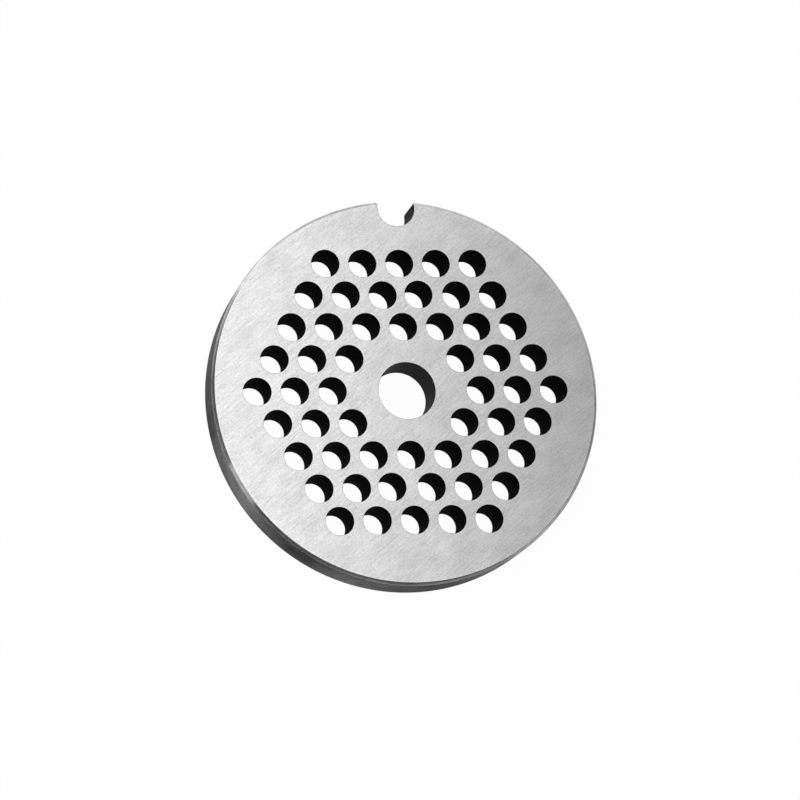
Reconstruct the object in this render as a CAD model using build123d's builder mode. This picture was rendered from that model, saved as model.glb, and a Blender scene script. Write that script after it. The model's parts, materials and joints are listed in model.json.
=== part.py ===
"""Meat grinder plate, size 8, with 4.5 mm holes.

The perforated disc at the mouth of a meat grinder. The knife turns against one face and
pushes the meat out through a hexagonal field of drilled holes. The stud of the feed screw
turns in the hub bore, and a pin in the grinder's mouth sits in the half-round notch, which
keeps the plate from turning with the knife. Both faces are ground and both rims are broken,
so the plate works either way round.

Millimetres, +Z up. The plate lies on its seat face at z = 0 with its knife face up. The hub
bore is on the Z axis and the notch is at +Y.
"""

from build123d import *
import os
from math import sqrt

# --- driving dimensions ---------------------------------------------------------------
plate_diameter = 62.3
plate_thickness = 7.1
rim_chamfer = 0.45  # 45 degree break, the same on both rims

bore_diameter = 9.2  # turning fit on the stud of the feed screw

hole_diameter = 4.5
hole_pitch = 6.0  # centre to centre, the same along all three directions of the lattice
first_hole_ring = 2  # ring 1 of the lattice stays solid as the hub round the bore
last_hole_ring = 4

notch_radius = 3.0
notch_centre_distance = 30.0  # from the bore axis, so the notch opens just inside the rim
notch_corner_radius = 0.3  # eased corners of the notch's mouth

# Two holes were drilled a little off the lattice. Each key is the hole's place on it.
drill_wander = {
    (1, -3): (-0.34, 0.10),
    (-1, 3): (-0.17, 0.09),
}

# --- worked out from them -------------------------------------------------------------
plate_radius = plate_diameter / 2
row_spacing = hole_pitch * sqrt(3) / 2


def lattice_ring(i, j):
    """The hexagonal ring, counted from the bore, that a point of the lattice lies in."""
    return max(abs(i), abs(j), abs(i + j))


def lattice_point(i, j):
    """Centre of the hole at step i along its row, in row j above the bore."""
    return ((i + j / 2) * hole_pitch, j * row_spacing)


def hole_centres():
    """Centres of all the holes that fill the hexagon round the hub."""
    steps = range(-last_hole_ring, last_hole_ring + 1)
    centres = []
    for j in steps:
        for i in steps:
            if first_hole_ring <= lattice_ring(i, j) <= last_hole_ring:
                x, y = lattice_point(i, j)
                dx, dy = drill_wander.get((i, j), (0, 0))
                centres.append((x + dx, y + dy))
    return centres


# --- grinder plate: one piece of steel ------------------------------------------------
with BuildPart() as grinder_plate:
    # The disc, with the half-round notch open to its rim
    with BuildSketch(Plane.XY) as outline:
        Circle(plate_radius)
        with Locations((0, notch_centre_distance)):
            Circle(notch_radius, mode=Mode.SUBTRACT)
        mouth_corners = outline.vertices().sort_by(Axis.Y)[-2:]
        fillet(mouth_corners, notch_corner_radius)
    extrude(amount=plate_thickness)

    # Both rims broken in the lathe: the two cones run on past the rim and trim it
    with BuildSketch(Plane.XZ) as turned_section:
        with BuildLine():
            Polyline(
                (0, 0),
                (plate_radius - rim_chamfer, 0),
                (plate_radius + rim_chamfer, 2 * rim_chamfer),
                (plate_radius + rim_chamfer, plate_thickness - 2 * rim_chamfer),
                (plate_radius - rim_chamfer, plate_thickness),
                (0, plate_thickness),
                close=True,
            )
        make_face()
    revolve(axis=Axis.Z, mode=Mode.INTERSECT)

    # The hub bore and the hexagonal field of holes, all straight through
    with BuildSketch(Plane.XY) as drilling:
        Circle(bore_diameter / 2)
        with Locations(*hole_centres()):
            Circle(hole_diameter / 2)
    extrude(amount=plate_thickness, mode=Mode.SUBTRACT)

grinder_plate.part.label = "grinder_plate"

os.makedirs("parts", exist_ok=True)
export_step(grinder_plate.part, "parts/grinder_plate.step")
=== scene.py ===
"""Looks for the meat grinder plate: the finished steel disc, its surfaces, lights and camera.

Everything is in metres, in the row frame: the plate lies on its seat face at z = 0 with its
knife face up, the hub bore on the Z axis and the locating notch at +Y.
"""

import json
from math import atan2, cos, pi, radians, sin, sqrt

import bmesh
import bpy
from mathutils import Matrix, Vector


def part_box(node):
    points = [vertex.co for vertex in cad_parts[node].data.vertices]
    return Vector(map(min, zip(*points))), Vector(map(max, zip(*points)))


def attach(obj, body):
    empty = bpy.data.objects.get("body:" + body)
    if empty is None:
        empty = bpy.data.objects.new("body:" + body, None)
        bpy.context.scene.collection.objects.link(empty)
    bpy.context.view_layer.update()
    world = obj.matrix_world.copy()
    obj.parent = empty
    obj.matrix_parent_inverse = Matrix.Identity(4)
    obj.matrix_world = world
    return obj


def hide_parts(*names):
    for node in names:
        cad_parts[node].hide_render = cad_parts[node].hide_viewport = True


MM = 0.001
NODE = "grinder_plate"

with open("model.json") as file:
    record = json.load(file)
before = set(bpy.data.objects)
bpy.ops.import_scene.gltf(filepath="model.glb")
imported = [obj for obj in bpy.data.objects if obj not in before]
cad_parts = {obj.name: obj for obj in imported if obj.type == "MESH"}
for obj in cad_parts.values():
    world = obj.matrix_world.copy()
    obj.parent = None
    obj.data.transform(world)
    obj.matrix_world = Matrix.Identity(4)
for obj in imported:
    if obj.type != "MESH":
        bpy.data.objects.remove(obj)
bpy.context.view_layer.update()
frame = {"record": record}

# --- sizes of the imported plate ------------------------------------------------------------
mount_dims = {mount["name"]: mount["dims"] for mount in frame["record"]["mounts"]}
plate_low, plate_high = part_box(NODE)
PLATE_THICKNESS = plate_high.z - plate_low.z
PLATE_RADIUS = mount_dims["rim"]["r_mm"] * MM
BORE_RADIUS = mount_dims["hub_bore"]["r_mm"] * MM
RIM_CHAMFER = (PLATE_THICKNESS - mount_dims["rim"]["length_mm"] * MM) / 2

HOLE_RADIUS = 2.25 * MM
HOLE_PITCH = 6.0 * MM
FIRST_HOLE_RING = 2
LAST_HOLE_RING = 4
# Two holes that the photo shows a little off their place in the lattice
DRILL_WANDER = {(1, -3): (-0.34 * MM, 0.10 * MM), (-1, 3): (-0.17 * MM, 0.09 * MM)}

NOTCH_RADIUS = 3.0 * MM
NOTCH_CENTRE = Vector((0, 30.0 * MM))
NOTCH_CORNER_RADIUS = 0.3 * MM

MIDDLE_HEIGHT = PLATE_THICKNESS / 2
CHAMFER_FOOT = PLATE_RADIUS - RIM_CHAMFER  # radius at which the ground faces end
RIM_HALF_HEIGHT = MIDDLE_HEIGHT - RIM_CHAMFER  # of the upright rim between its chamfers

# --- finish of its edges ------------------------------------------------------------------
EDGE_EASE = 0.05 * MM  # radius left on the ground edges
EASE_STEPS = 3
WALL_LOOP_HEIGHT = 3 * EDGE_EASE  # of the last loop at each edge, where the wall is straight
CHAMFER_EASE = 0.008 * MM  # how softly the rim's chamfers run into the rim
CHAMFER_LOOPS = (-2.5, -0.8, 0.0, 0.8, 2.5, 5)  # offsets of the loops there, in CHAMFER_EASE

RIM_SEGMENTS = 420
NOTCH_SEGMENTS = 26  # on each side, from the bottom of the notch to its mouth
NOTCH_ARC_SHARE = 0.7  # of those that fall on the notch itself, before its rounded corner
NOTCH_SEARCH_STEPS = 40
BORE_SEGMENTS = 128
HOLE_SEGMENTS = 48

# Material slots of the finished plate, in order
KNIFE_FACE, SEAT_FACE, CHAMFER, RIM, NOTCH_WALL, BORE_WALL, HOLE_WALL = range(7)


def hole_centres():
    """Centres of the small holes: hexagonal rings of a triangular lattice round the bore."""
    steps = range(-LAST_HOLE_RING, LAST_HOLE_RING + 1)
    centres = []
    for j in steps:
        for i in steps:
            ring = max(abs(i), abs(j), abs(i + j))
            if FIRST_HOLE_RING <= ring <= LAST_HOLE_RING:
                dx, dy = DRILL_WANDER.get((i, j), (0, 0))
                x = (i + j / 2) * HOLE_PITCH + dx
                y = j * HOLE_PITCH * sqrt(3) / 2 + dy
                centres.append((x, y))
    return centres


def both_edges(heights):
    """Heights measured from a face, repeated from the other face, in order from z = 0 up."""
    upper = [PLATE_THICKNESS - height for height in reversed(heights)]
    return list(heights) + upper


def ease_heights():
    """Heights of the loops that round an edge of the seat face."""
    turns = [(pi / 2) * step / EASE_STEPS for step in range(EASE_STEPS + 1)]
    return [EDGE_EASE * (1 - cos(turn)) for turn in turns]


def wall_setback(height):
    """How far a straight wall stands back from its own line where its edge is rounded."""
    to_face = min(height, PLATE_THICKNESS - height)
    depth = max(0.0, EDGE_EASE - to_face)
    return EDGE_EASE - sqrt(EDGE_EASE**2 - depth**2)


def rim_radius(height):
    """Radius of the rim: 45 degree chamfers run softly into it and are eased at the faces."""
    to_face = min(height, PLATE_THICKNESS - height)
    into_chamfer = RIM_CHAMFER - to_face
    cut = (into_chamfer + sqrt(into_chamfer**2 + CHAMFER_EASE**2)) / 2
    return PLATE_RADIUS - cut - wall_setback(height) / 2


def notch_corner_centre():
    """Centre of the round that joins the right side of the notch to the rim."""
    from_notch = NOTCH_RADIUS + NOTCH_CORNER_RADIUS
    from_axis = PLATE_RADIUS - NOTCH_CORNER_RADIUS
    y = (from_axis**2 - from_notch**2 + NOTCH_CENTRE.y**2) / (2 * NOTCH_CENTRE.y)
    return Vector((sqrt(from_axis**2 - y**2), y))


def notch_point(along, setback):
    """Point on the right side of the notch: along runs from 0 at its bottom to 1 at the rim."""
    corner = notch_corner_centre()
    to_corner = corner - NOTCH_CENTRE
    arc_turn = atan2(to_corner.x, -to_corner.y)
    if along <= NOTCH_ARC_SHARE:
        turn = arc_turn * along / NOTCH_ARC_SHARE
        return NOTCH_CENTRE + (NOTCH_RADIUS + setback) * Vector((sin(turn), -cos(turn)))
    start = atan2(-to_corner.y, -to_corner.x) % (2 * pi)
    end = atan2(corner.y, corner.x)
    turn = start + (end - start) * (along - NOTCH_ARC_SHARE) / (1 - NOTCH_ARC_SHARE)
    return corner + (NOTCH_CORNER_RADIUS - setback) * Vector((cos(turn), sin(turn)))


def notch_side(radius, setback):
    """The right side of the notch, bottom first, up to where it meets a rim of this radius."""
    low, high = 0.0, 1.0
    for _ in range(NOTCH_SEARCH_STEPS):
        middle = (low + high) / 2
        if notch_point(middle, setback).length < radius:
            low = middle
        else:
            high = middle
    return [notch_point(low * step / NOTCH_SEGMENTS, setback) for step in range(NOTCH_SEGMENTS + 1)]


def plate_outline(height):
    """The outline at a height, anticlockwise: round the rim, then down and up the notch."""
    radius = rim_radius(height)
    side = notch_side(radius, wall_setback(height))
    corner_angle = atan2(side[-1].y, side[-1].x)
    first = pi - corner_angle
    sweep = 2 * pi + corner_angle - first
    points = []
    for step in range(RIM_SEGMENTS):
        angle = first + sweep * step / RIM_SEGMENTS
        points.append((radius * cos(angle), radius * sin(angle), height))
    for point in reversed(side):
        points.append((point.x, point.y, height))
    for point in side[1:-1]:
        points.append((-point.x, point.y, height))
    return points


def hole_outline(centre, radius, segments, height):
    """A round hole's edge at a height, clockwise, so that its wall faces the hole."""
    wide = radius + wall_setback(height)
    points = []
    for step in range(segments):
        angle = -2 * pi * step / segments
        points.append((centre[0] + wide * cos(angle), centre[1] + wide * sin(angle), height))
    return points


def add_wall(mesh, loops, slot_of):
    """Joins loops of points, bottom first, into a wall. Returns its lowest and highest edges."""
    rings = [[mesh.verts.new(point) for point in loop] for loop in loops]
    count = len(rings[0])
    for lower, upper in zip(rings, rings[1:]):
        for i in range(count):
            k = (i + 1) % count
            face = mesh.faces.new((lower[i], lower[k], upper[k], upper[i]))
            face.material_index = slot_of(i, (lower[i].co.z + upper[i].co.z) / 2)
    ends = []
    for ring in (rings[0], rings[-1]):
        ends.append([mesh.edges.get((ring[i], ring[(i + 1) % count])) for i in range(count)])
    return ends


def add_face(mesh, edges, up, material_index):
    """Fills a ground face between the outline's edges and the holes'."""
    normal = Vector((0, 0, 1 if up else -1))
    filled = bmesh.ops.triangle_fill(mesh, use_beauty=True, edges=edges, normal=normal)
    for item in filled["geom"]:
        if isinstance(item, bmesh.types.BMFace):
            item.material_index = material_index
            if item.normal.dot(normal) < 0:
                item.normal_flip()


def outer_slot(i, height):
    """The material slot of a piece of the outer wall: rim, chamfer or notch."""
    if i >= RIM_SEGMENTS:
        return NOTCH_WALL
    to_face = min(height, PLATE_THICKNESS - height)
    return CHAMFER if to_face < RIM_CHAMFER else RIM


def finished_plate(materials):
    """The plate as one closed mesh, with every edge eased."""
    mesh = bmesh.new()
    chamfer_end = [RIM_CHAMFER + offset * CHAMFER_EASE for offset in CHAMFER_LOOPS]
    rim_heights = both_edges(ease_heights() + chamfer_end)
    hole_heights = both_edges(ease_heights() + [WALL_LOOP_HEIGHT])
    outline = [plate_outline(height) for height in rim_heights]
    bore = [hole_outline((0, 0), BORE_RADIUS, BORE_SEGMENTS, height) for height in hole_heights]
    walls = [
        add_wall(mesh, outline, outer_slot),
        add_wall(mesh, bore, lambda i, height: BORE_WALL),
    ]
    for centre in hole_centres():
        hole = [hole_outline(centre, HOLE_RADIUS, HOLE_SEGMENTS, height) for height in hole_heights]
        walls.append(add_wall(mesh, hole, lambda i, height: HOLE_WALL))
    add_face(mesh, [edge for low, high in walls for edge in low], False, SEAT_FACE)
    add_face(mesh, [edge for low, high in walls for edge in high], True, KNIFE_FACE)
    for face in mesh.faces:
        face.smooth = face.material_index not in (KNIFE_FACE, SEAT_FACE)
    data = bpy.data.meshes.new("finished_plate")
    mesh.to_mesh(data)
    mesh.free()
    for material in materials:
        data.materials.append(material)
    plate = bpy.data.objects.new("finished_plate", data)
    bpy.context.scene.collection.objects.link(plate)
    return plate


# --- surfaces -----------------------------------------------------------------------------
GROUND_COLOUR = (0.845, 0.840, 0.842)
GROUND_METALLIC = 0.85
GROUND_BUMP = 0.001 * MM
KNIFE_GRAIN_ANGLE = 38.5  # degrees from +X, as the next one is
SEAT_GRAIN_ANGLE = -24.0
SCRATCH_ANGLE = 31  # degrees between the scratches and the grain

# Sizes of the turned steel's noises along x, y and z
TURNED_RINGS = (6.0 * MM, 6.0 * MM, 0.16 * MM)
TURNED_PATCHES = (1.6 * MM, 1.6 * MM, 1.2 * MM)
# the tone noise: partly the steel's own uneven tone, partly painted highlight and painted dark
# reflection
TURNED_TONE_AND_REFLECTION = (16.0 * MM, 16.0 * MM, 30.0 * MM)
TURNED_ROUGHNESS_SWING = 0.04
TURNED_BUMP = 0.004 * MM
# Seeds that place the tone's light stretch as a painted highlight and its dark stretches as painted
# dark reflections
# Chosen for lights and darks like the photo's
CHAMFER_TONE_AND_REFLECTION_SEED = 353.0  # of 22 tried
RIM_TONE_AND_REFLECTION_SEED = 209.0  # of 28 tried

DRILLED_RINGS = (2.0 * MM, 2.0 * MM, 0.2 * MM)
DRILLED_ROUGHNESS_SWING = 0.06
DRILLED_BUMP = 0.01 * MM

WEAR_PATCHES = (1.4 * MM, 1.4 * MM, 1.4 * MM)
WEAR_WIDTH = 0.5 * MM  # of the worn band along each side of a chamfer


class Surface:
    """A material and short ways to add its nodes."""

    def __init__(self, name):
        self.material = bpy.data.materials.new(name)
        self.material.use_nodes = True
        self.nodes = self.material.node_tree.nodes
        self.links = self.material.node_tree.links
        self.shader = self.nodes["Principled BSDF"]
        self.place = self.nodes.new("ShaderNodeTexCoord").outputs["Object"]

    def noise(self, stretch, turn=0.0, detail=2.0, seed=0.0):
        """Noise with blotches of these sizes in metres, turned about the plate's axis.

        The seed moves it aside by that many millimetres, to another stretch of the same noise.
        """
        mapping = self.nodes.new("ShaderNodeMapping")
        mapping.vector_type = "TEXTURE"
        mapping.inputs["Rotation"].default_value = (0, 0, turn)
        mapping.inputs["Scale"].default_value = stretch
        mapping.inputs["Location"].default_value = (seed * MM, seed * MM, 0)
        self.links.new(self.place, mapping.inputs["Vector"])
        texture = self.nodes.new("ShaderNodeTexNoise")
        texture.inputs["Scale"].default_value = 1.0
        texture.inputs["Detail"].default_value = detail
        self.links.new(mapping.outputs["Vector"], texture.inputs["Vector"])
        return texture.outputs["Fac"]

    def marks(self, length, width, turn, detail=2.0, seed=0.0):
        """Noise drawn out along one direction of a face, the same all through the plate."""
        return self.noise((length, width, 1), turn, detail, seed)

    def spread(self, value, low, high, at_low=0.3, at_high=0.7):
        """The value's range at_low..at_high, mapped to low..high and held there outside it."""
        node = self.nodes.new("ShaderNodeMapRange")
        node.inputs["From Min"].default_value = at_low
        node.inputs["From Max"].default_value = at_high
        node.inputs["To Min"].default_value = low
        node.inputs["To Max"].default_value = high
        self.links.new(value, node.inputs["Value"])
        return node.outputs["Result"]

    def combine(self, operation, first, *others):
        """Numbers and values put together from left to right, with a math node for each step."""
        result = first
        for other in others:
            node = self.nodes.new("ShaderNodeMath")
            node.operation = operation
            for socket, value in zip(node.inputs, (result, other)):
                if isinstance(value, (int, float)):
                    socket.default_value = value
                else:
                    self.links.new(value, socket)
            result = node.outputs["Value"]
        return result

    def tint(self, colour, brightness):
        """A colour made lighter and darker by a value near 1."""
        node = self.nodes.new("ShaderNodeVectorMath")
        node.operation = "SCALE"
        node.inputs[0].default_value = colour
        self.links.new(brightness, node.inputs["Scale"])
        return node.outputs["Vector"]

    def wear(self, distance, edge, seed):
        """Patchy wear that grows to 1 where the distance reaches an edge."""
        patches = self.noise(WEAR_PATCHES, detail=3.0, seed=seed)
        closeness = self.spread(distance, 0.0, 1.0, at_low=edge - WEAR_WIDTH, at_high=edge)
        patchy = self.spread(patches, 0.0, 1.0, at_low=0.4, at_high=0.65)
        return self.combine("MULTIPLY", closeness, patchy)

    def distance_from_axis(self):
        """How far a point lies from the plate's axis."""
        flat = self.nodes.new("ShaderNodeVectorMath")
        flat.operation = "MULTIPLY"
        flat.inputs[1].default_value = (1, 1, 0)
        self.links.new(self.place, flat.inputs[0])
        length = self.nodes.new("ShaderNodeVectorMath")
        length.operation = "LENGTH"
        self.links.new(flat.outputs["Vector"], length.inputs[0])
        return length.outputs["Value"]

    def distance_from_middle(self):
        """How far along the axis a point lies from half the plate's thickness."""
        split = self.nodes.new("ShaderNodeSeparateXYZ")
        self.links.new(self.place, split.inputs["Vector"])
        offset = self.combine("SUBTRACT", split.outputs["Z"], MIDDLE_HEIGHT)
        return self.combine("ABSOLUTE", offset, 0.0)

    def bump(self, height, depth):
        """Relief that is this deep in metres where the height value goes from 0 to 1."""
        node = self.nodes.new("ShaderNodeBump")
        node.inputs["Distance"].default_value = depth
        node.inputs["Strength"].default_value = 1.0
        self.links.new(height, node.inputs["Height"])
        self.links.new(node.outputs["Normal"], self.shader.inputs["Normal"])

    def feed(self, socket, value):
        """Sets one of the shader's inputs to a number, or links a value to it."""
        if isinstance(value, (int, float)):
            self.shader.inputs[socket].default_value = value
        else:
            self.links.new(value, self.shader.inputs[socket])


def ground_steel(name, grain_angle):
    """Bright steel off the surface grinder: straight streaks, faint blotches, scratches, wear."""
    surface = Surface(name)
    turn = radians(grain_angle)
    across = turn + radians(SCRATCH_ANGLE)
    speckle = surface.marks(0.36 * MM, 0.30 * MM, turn)
    streaks = surface.marks(2.4 * MM, 0.36 * MM, turn, seed=2.2)
    lines = surface.marks(14.0 * MM, 0.28 * MM, turn, seed=7.3)
    scratches = surface.marks(9.0 * MM, 0.07 * MM, across, detail=0.0, seed=11.7)
    blotches = surface.marks(5.0 * MM, 4.0 * MM, turn, seed=3.1)
    worn = surface.wear(surface.distance_from_axis(), CHAMFER_FOOT, seed=23.0)
    grain = surface.combine(
        "ADD",
        surface.spread(speckle, -0.12, 0.12),
        surface.spread(streaks, -0.08, 0.08),
        surface.spread(lines, -0.045, 0.045),
        surface.spread(scratches, 0.0, 0.16, at_low=0.76, at_high=0.86),
    )
    shade = surface.combine(
        "ADD",
        grain,
        surface.spread(blotches, 0.93, 1.07),
        surface.spread(worn, 0.0, 0.12, at_low=0.0, at_high=1.0),
    )
    surface.feed("Base Color", surface.tint(GROUND_COLOUR, shade))
    surface.feed("Metallic", GROUND_METALLIC)
    surface.feed("Roughness", surface.spread(grain, 0.40, 0.34, at_low=-0.15, at_high=0.15))
    surface.bump(grain, GROUND_BUMP)
    return surface.material


def turned_steel(name, colour, roughness, edge_tint, anisotropy, tone_and_reflection_seed):
    """Steel off the lathe, worn at its edges, with fine rings round the axis and an uneven tone
    that is partly its own and partly a painted highlight and painted dark reflections.

    The rings draw highlights out across them. An edge tint of 0 darkens the metal where it is
    seen nearly edge-on, and 1 leaves it plain.
    """
    surface = Surface(name)
    rings = surface.noise(TURNED_RINGS, detail=3.0)
    patches = surface.noise(TURNED_PATCHES, detail=4.0, seed=5.0)
    # Uneven tone, partly the steel's own and partly a painted highlight and painted dark
    # reflections, placed by the seed
    tone_and_reflection = surface.noise(TURNED_TONE_AND_REFLECTION, detail=1.0, seed=tone_and_reflection_seed)
    worn = surface.wear(surface.distance_from_middle(), RIM_HALF_HEIGHT, seed=29.0)
    shade = surface.combine(
        "MULTIPLY",
        surface.spread(rings, 0.85, 1.15),
        surface.spread(patches, 0.88, 1.12),
        surface.spread(tone_and_reflection, 0.55, 1.45),
        surface.spread(worn, 1.0, 1.20, at_low=0.0, at_high=1.0),
    )
    rougher = roughness + TURNED_ROUGHNESS_SWING
    smoother = roughness - TURNED_ROUGHNESS_SWING
    surface.feed("Base Color", surface.tint(colour, shade))
    surface.feed("Metallic", 1.0)
    surface.feed("Roughness", surface.spread(rings, rougher, smoother))
    surface.feed("Anisotropic", anisotropy)
    surface.feed("Anisotropic Rotation", 0.25)
    surface.shader.inputs["Specular Tint"].default_value = (edge_tint, edge_tint, edge_tint, 1)
    tangent = surface.nodes.new("ShaderNodeTangent")
    tangent.direction_type = "RADIAL"
    tangent.axis = "Z"
    surface.links.new(tangent.outputs["Tangent"], surface.shader.inputs["Tangent"])
    surface.bump(rings, TURNED_BUMP)
    return surface.material


def drilled_wall_in_painted_shade(name, painted_shade_grey, roughness, gloss):
    """Wall of a hole or of the notch, coloured near black as painted shade for the shade deep
    inside it, so that it reflects next to nothing.
    """
    surface = Surface(name)
    rings = surface.noise(DRILLED_RINGS, detail=3.0)
    rougher = roughness + DRILLED_ROUGHNESS_SWING
    smoother = roughness - DRILLED_ROUGHNESS_SWING
    # Near-black colour: painted shade of the hollow
    surface.feed("Base Color", surface.tint((painted_shade_grey, painted_shade_grey, painted_shade_grey), surface.spread(rings, 0.7, 1.3)))
    surface.feed("Metallic", 0.0)
    surface.feed("Specular IOR Level", gloss)
    surface.feed("Roughness", surface.spread(rings, rougher, smoother))
    surface.bump(rings, DRILLED_BUMP)
    return surface.material


def plate_materials():
    """The materials of the finished plate, in the order of its slots."""
    return [
        ground_steel("ground_knife_face", KNIFE_GRAIN_ANGLE),
        ground_steel("ground_seat_face", SEAT_GRAIN_ANGLE),
        turned_steel(
            "turned_chamfer",
            colour=(0.34, 0.34, 0.34),
            roughness=0.17,
            edge_tint=1.0,
            anisotropy=0.5,
            tone_and_reflection_seed=CHAMFER_TONE_AND_REFLECTION_SEED,
        ),
        turned_steel(
            "turned_rim",
            colour=(0.41, 0.413, 0.413),
            roughness=0.235,
            edge_tint=0.0,
            anisotropy=0.85,
            tone_and_reflection_seed=RIM_TONE_AND_REFLECTION_SEED,
        ),
        # Near-black walls: painted shade inside the notch, the bore and the holes
        drilled_wall_in_painted_shade("notch_wall", painted_shade_grey=0.005, roughness=0.6, gloss=0.04),
        drilled_wall_in_painted_shade("bore_wall", painted_shade_grey=0.004, roughness=0.6, gloss=0.03),
        drilled_wall_in_painted_shade("hole_wall", painted_shade_grey=0.001, roughness=0.8, gloss=0.01),
    ]


plate = finished_plate(plate_materials())
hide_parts(NODE)
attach(plate, "root")


# --- floor, light and camera --------------------------------------------------------------
FLOOR_RADIUS = 5.0
BACKDROP_RADIUS = 6.0
BACKDROP_HEIGHT = 0.82
COVE_STEPS = 8  # from the floor's edge up to the backdrop's
STUDIO_SEGMENTS = 96
FLOOR_DROP = 0.02 * MM  # keeps the floor clear of the seat face
WHITE_SHARE = 0.98  # the rest is plain lit floor, which keeps the plate's shadow
AMBIENT = 0.12
BANK_DISTANCE = 0.35  # from the plate's middle to each low softbox
SENSOR_WIDTH = 36  # in millimetres, as the lens is


def seen_by_eye_or_metal(nodes, links):
    """1 for camera, glossy and transmission rays, 0 for light that falls on things."""
    path = nodes.new("ShaderNodeLightPath")
    value = path.outputs["Is Camera Ray"]
    for name in ("Is Glossy Ray", "Is Transmission Ray"):
        node = nodes.new("ShaderNodeMath")
        node.operation = "MAXIMUM"
        links.new(value, node.inputs[0])
        links.new(path.outputs[name], node.inputs[1])
        value = node.outputs["Value"]
    return value


def white_paper():
    """Pale matt paper that looks white to the camera and in the metal."""
    material = bpy.data.materials.new("white_paper")
    material.use_nodes = True
    nodes, links = material.node_tree.nodes, material.node_tree.links
    plain = nodes["Principled BSDF"]
    plain.inputs["Base Color"].default_value = (0.82, 0.82, 0.82, 1)
    plain.inputs["Roughness"].default_value = 0.9
    plain.inputs["Specular IOR Level"].default_value = 0.0
    white = nodes.new("ShaderNodeEmission")
    share = nodes.new("ShaderNodeMath")
    share.operation = "MULTIPLY"
    share.inputs[1].default_value = WHITE_SHARE
    links.new(seen_by_eye_or_metal(nodes, links), share.inputs[0])
    mix = nodes.new("ShaderNodeMixShader")
    links.new(share.outputs["Value"], mix.inputs["Fac"])
    links.new(plain.outputs["BSDF"], mix.inputs[1])
    links.new(white.outputs["Emission"], mix.inputs[2])
    links.new(mix.outputs["Shader"], nodes["Material Output"].inputs["Surface"])
    return material


def white_studio():
    """A round floor that curves up at its edge into a low backdrop."""
    profile = [(FLOOR_RADIUS, 0)]
    for step in range(1, COVE_STEPS + 1):
        turn = (pi / 2) * step / COVE_STEPS
        radius = FLOOR_RADIUS + (BACKDROP_RADIUS - FLOOR_RADIUS) * sin(turn)
        profile.append((radius, BACKDROP_HEIGHT * (1 - cos(turn))))
    mesh = bmesh.new()
    rings = []
    for radius, height in profile:
        ring = []
        for step in range(STUDIO_SEGMENTS):
            angle = 2 * pi * step / STUDIO_SEGMENTS
            point = (radius * cos(angle), radius * sin(angle), height - FLOOR_DROP)
            ring.append(mesh.verts.new(point))
        rings.append(ring)
    mesh.faces.new(rings[0])
    for inner, outer in zip(rings, rings[1:]):
        for i in range(STUDIO_SEGMENTS):
            k = (i + 1) % STUDIO_SEGMENTS
            mesh.faces.new((inner[i], outer[i], outer[k], inner[k]))
    data = bpy.data.meshes.new("studio_floor")
    mesh.to_mesh(data)
    mesh.free()
    data.materials.append(white_paper())
    floor = bpy.data.objects.new("studio_floor", data)
    bpy.context.scene.collection.objects.link(floor)


def studio_world():
    """A soft even light from above the backdrop."""
    world = bpy.data.worlds.new("studio")
    bpy.context.scene.world = world
    world.use_nodes = True
    background = world.node_tree.nodes["Background"]
    background.inputs["Color"].default_value = (1, 1, 1, 1)
    background.inputs["Strength"].default_value = AMBIENT


def softbox(name, place, aim, width, height, radiance):
    """An area lamp at a place, facing a point, as bright as a white card of that radiance."""
    data = bpy.data.lights.new(name, "AREA")
    data.shape = "RECTANGLE"
    data.size = width
    data.size_y = height
    data.energy = radiance * pi * width * height
    lamp = bpy.data.objects.new(name, data)
    lamp.location = place
    lamp.rotation_euler = (Vector(aim) - Vector(place)).to_track_quat("-Z", "Y").to_euler()
    bpy.context.scene.collection.objects.link(lamp)


def low_softbox(name, azimuth, elevation, width, height, radiance):
    """A softbox stood beside the plate, facing its middle."""
    turn = radians(azimuth)
    rise = radians(elevation)
    middle = Vector((0, 0, MIDDLE_HEIGHT))
    outward = Vector((cos(rise) * cos(turn), cos(rise) * sin(turn), sin(rise)))
    softbox(name, middle + BANK_DISTANCE * outward, middle, width, height, radiance)


def studio_lights():
    """A large panel overhead and three low softboxes, dim enough not to wash out the knife face.

    The panel ends at x = 0.069, in the midst of what the knife face mirrors to the camera, so
    that the face fades from left to right.
    """
    softbox(
        "overhead",
        place=(-0.196, -0.020, 0.26),
        aim=(-0.196, -0.020, 0),
        width=0.530,
        height=0.68,
        radiance=1.14,
    )
    low_softbox("back_bank", azimuth=101, elevation=7, width=0.40, height=0.08, radiance=2.1)
    low_softbox("back_top", azimuth=105, elevation=35, width=0.25, height=0.16, radiance=0.7)
    low_softbox("left_glint", azimuth=203, elevation=20, width=0.10, height=0.16, radiance=0.8)


def camera(place, aim, roll, lens):
    """The camera at a place, turned to a point and then about its view line."""
    data = bpy.data.cameras.new("camera")
    data.sensor_width = SENSOR_WIDTH
    data.lens = lens
    back = (Vector(place) - Vector(aim)).normalized()
    right = Vector((0, 1, 0)).cross(back).normalized()
    up = back.cross(right)
    turn = Matrix((right, up, back)).transposed() @ Matrix.Rotation(roll, 3, "Z")
    view = bpy.data.objects.new("camera", data)
    view.matrix_world = Matrix.Translation(place) @ turn.to_4x4()
    bpy.context.scene.collection.objects.link(view)
    bpy.context.scene.camera = view


white_studio()
studio_world()
studio_lights()
# Fitted to where the photo shows the plate's holes and edges
camera(
    place=(-0.11427, -0.11429, 0.48841),
    aim=(-0.00122, -0.00151, 0.0071),
    roll=radians(-3.497),
    lens=144.83,
)
bpy.context.scene.view_settings.view_transform = "Standard"
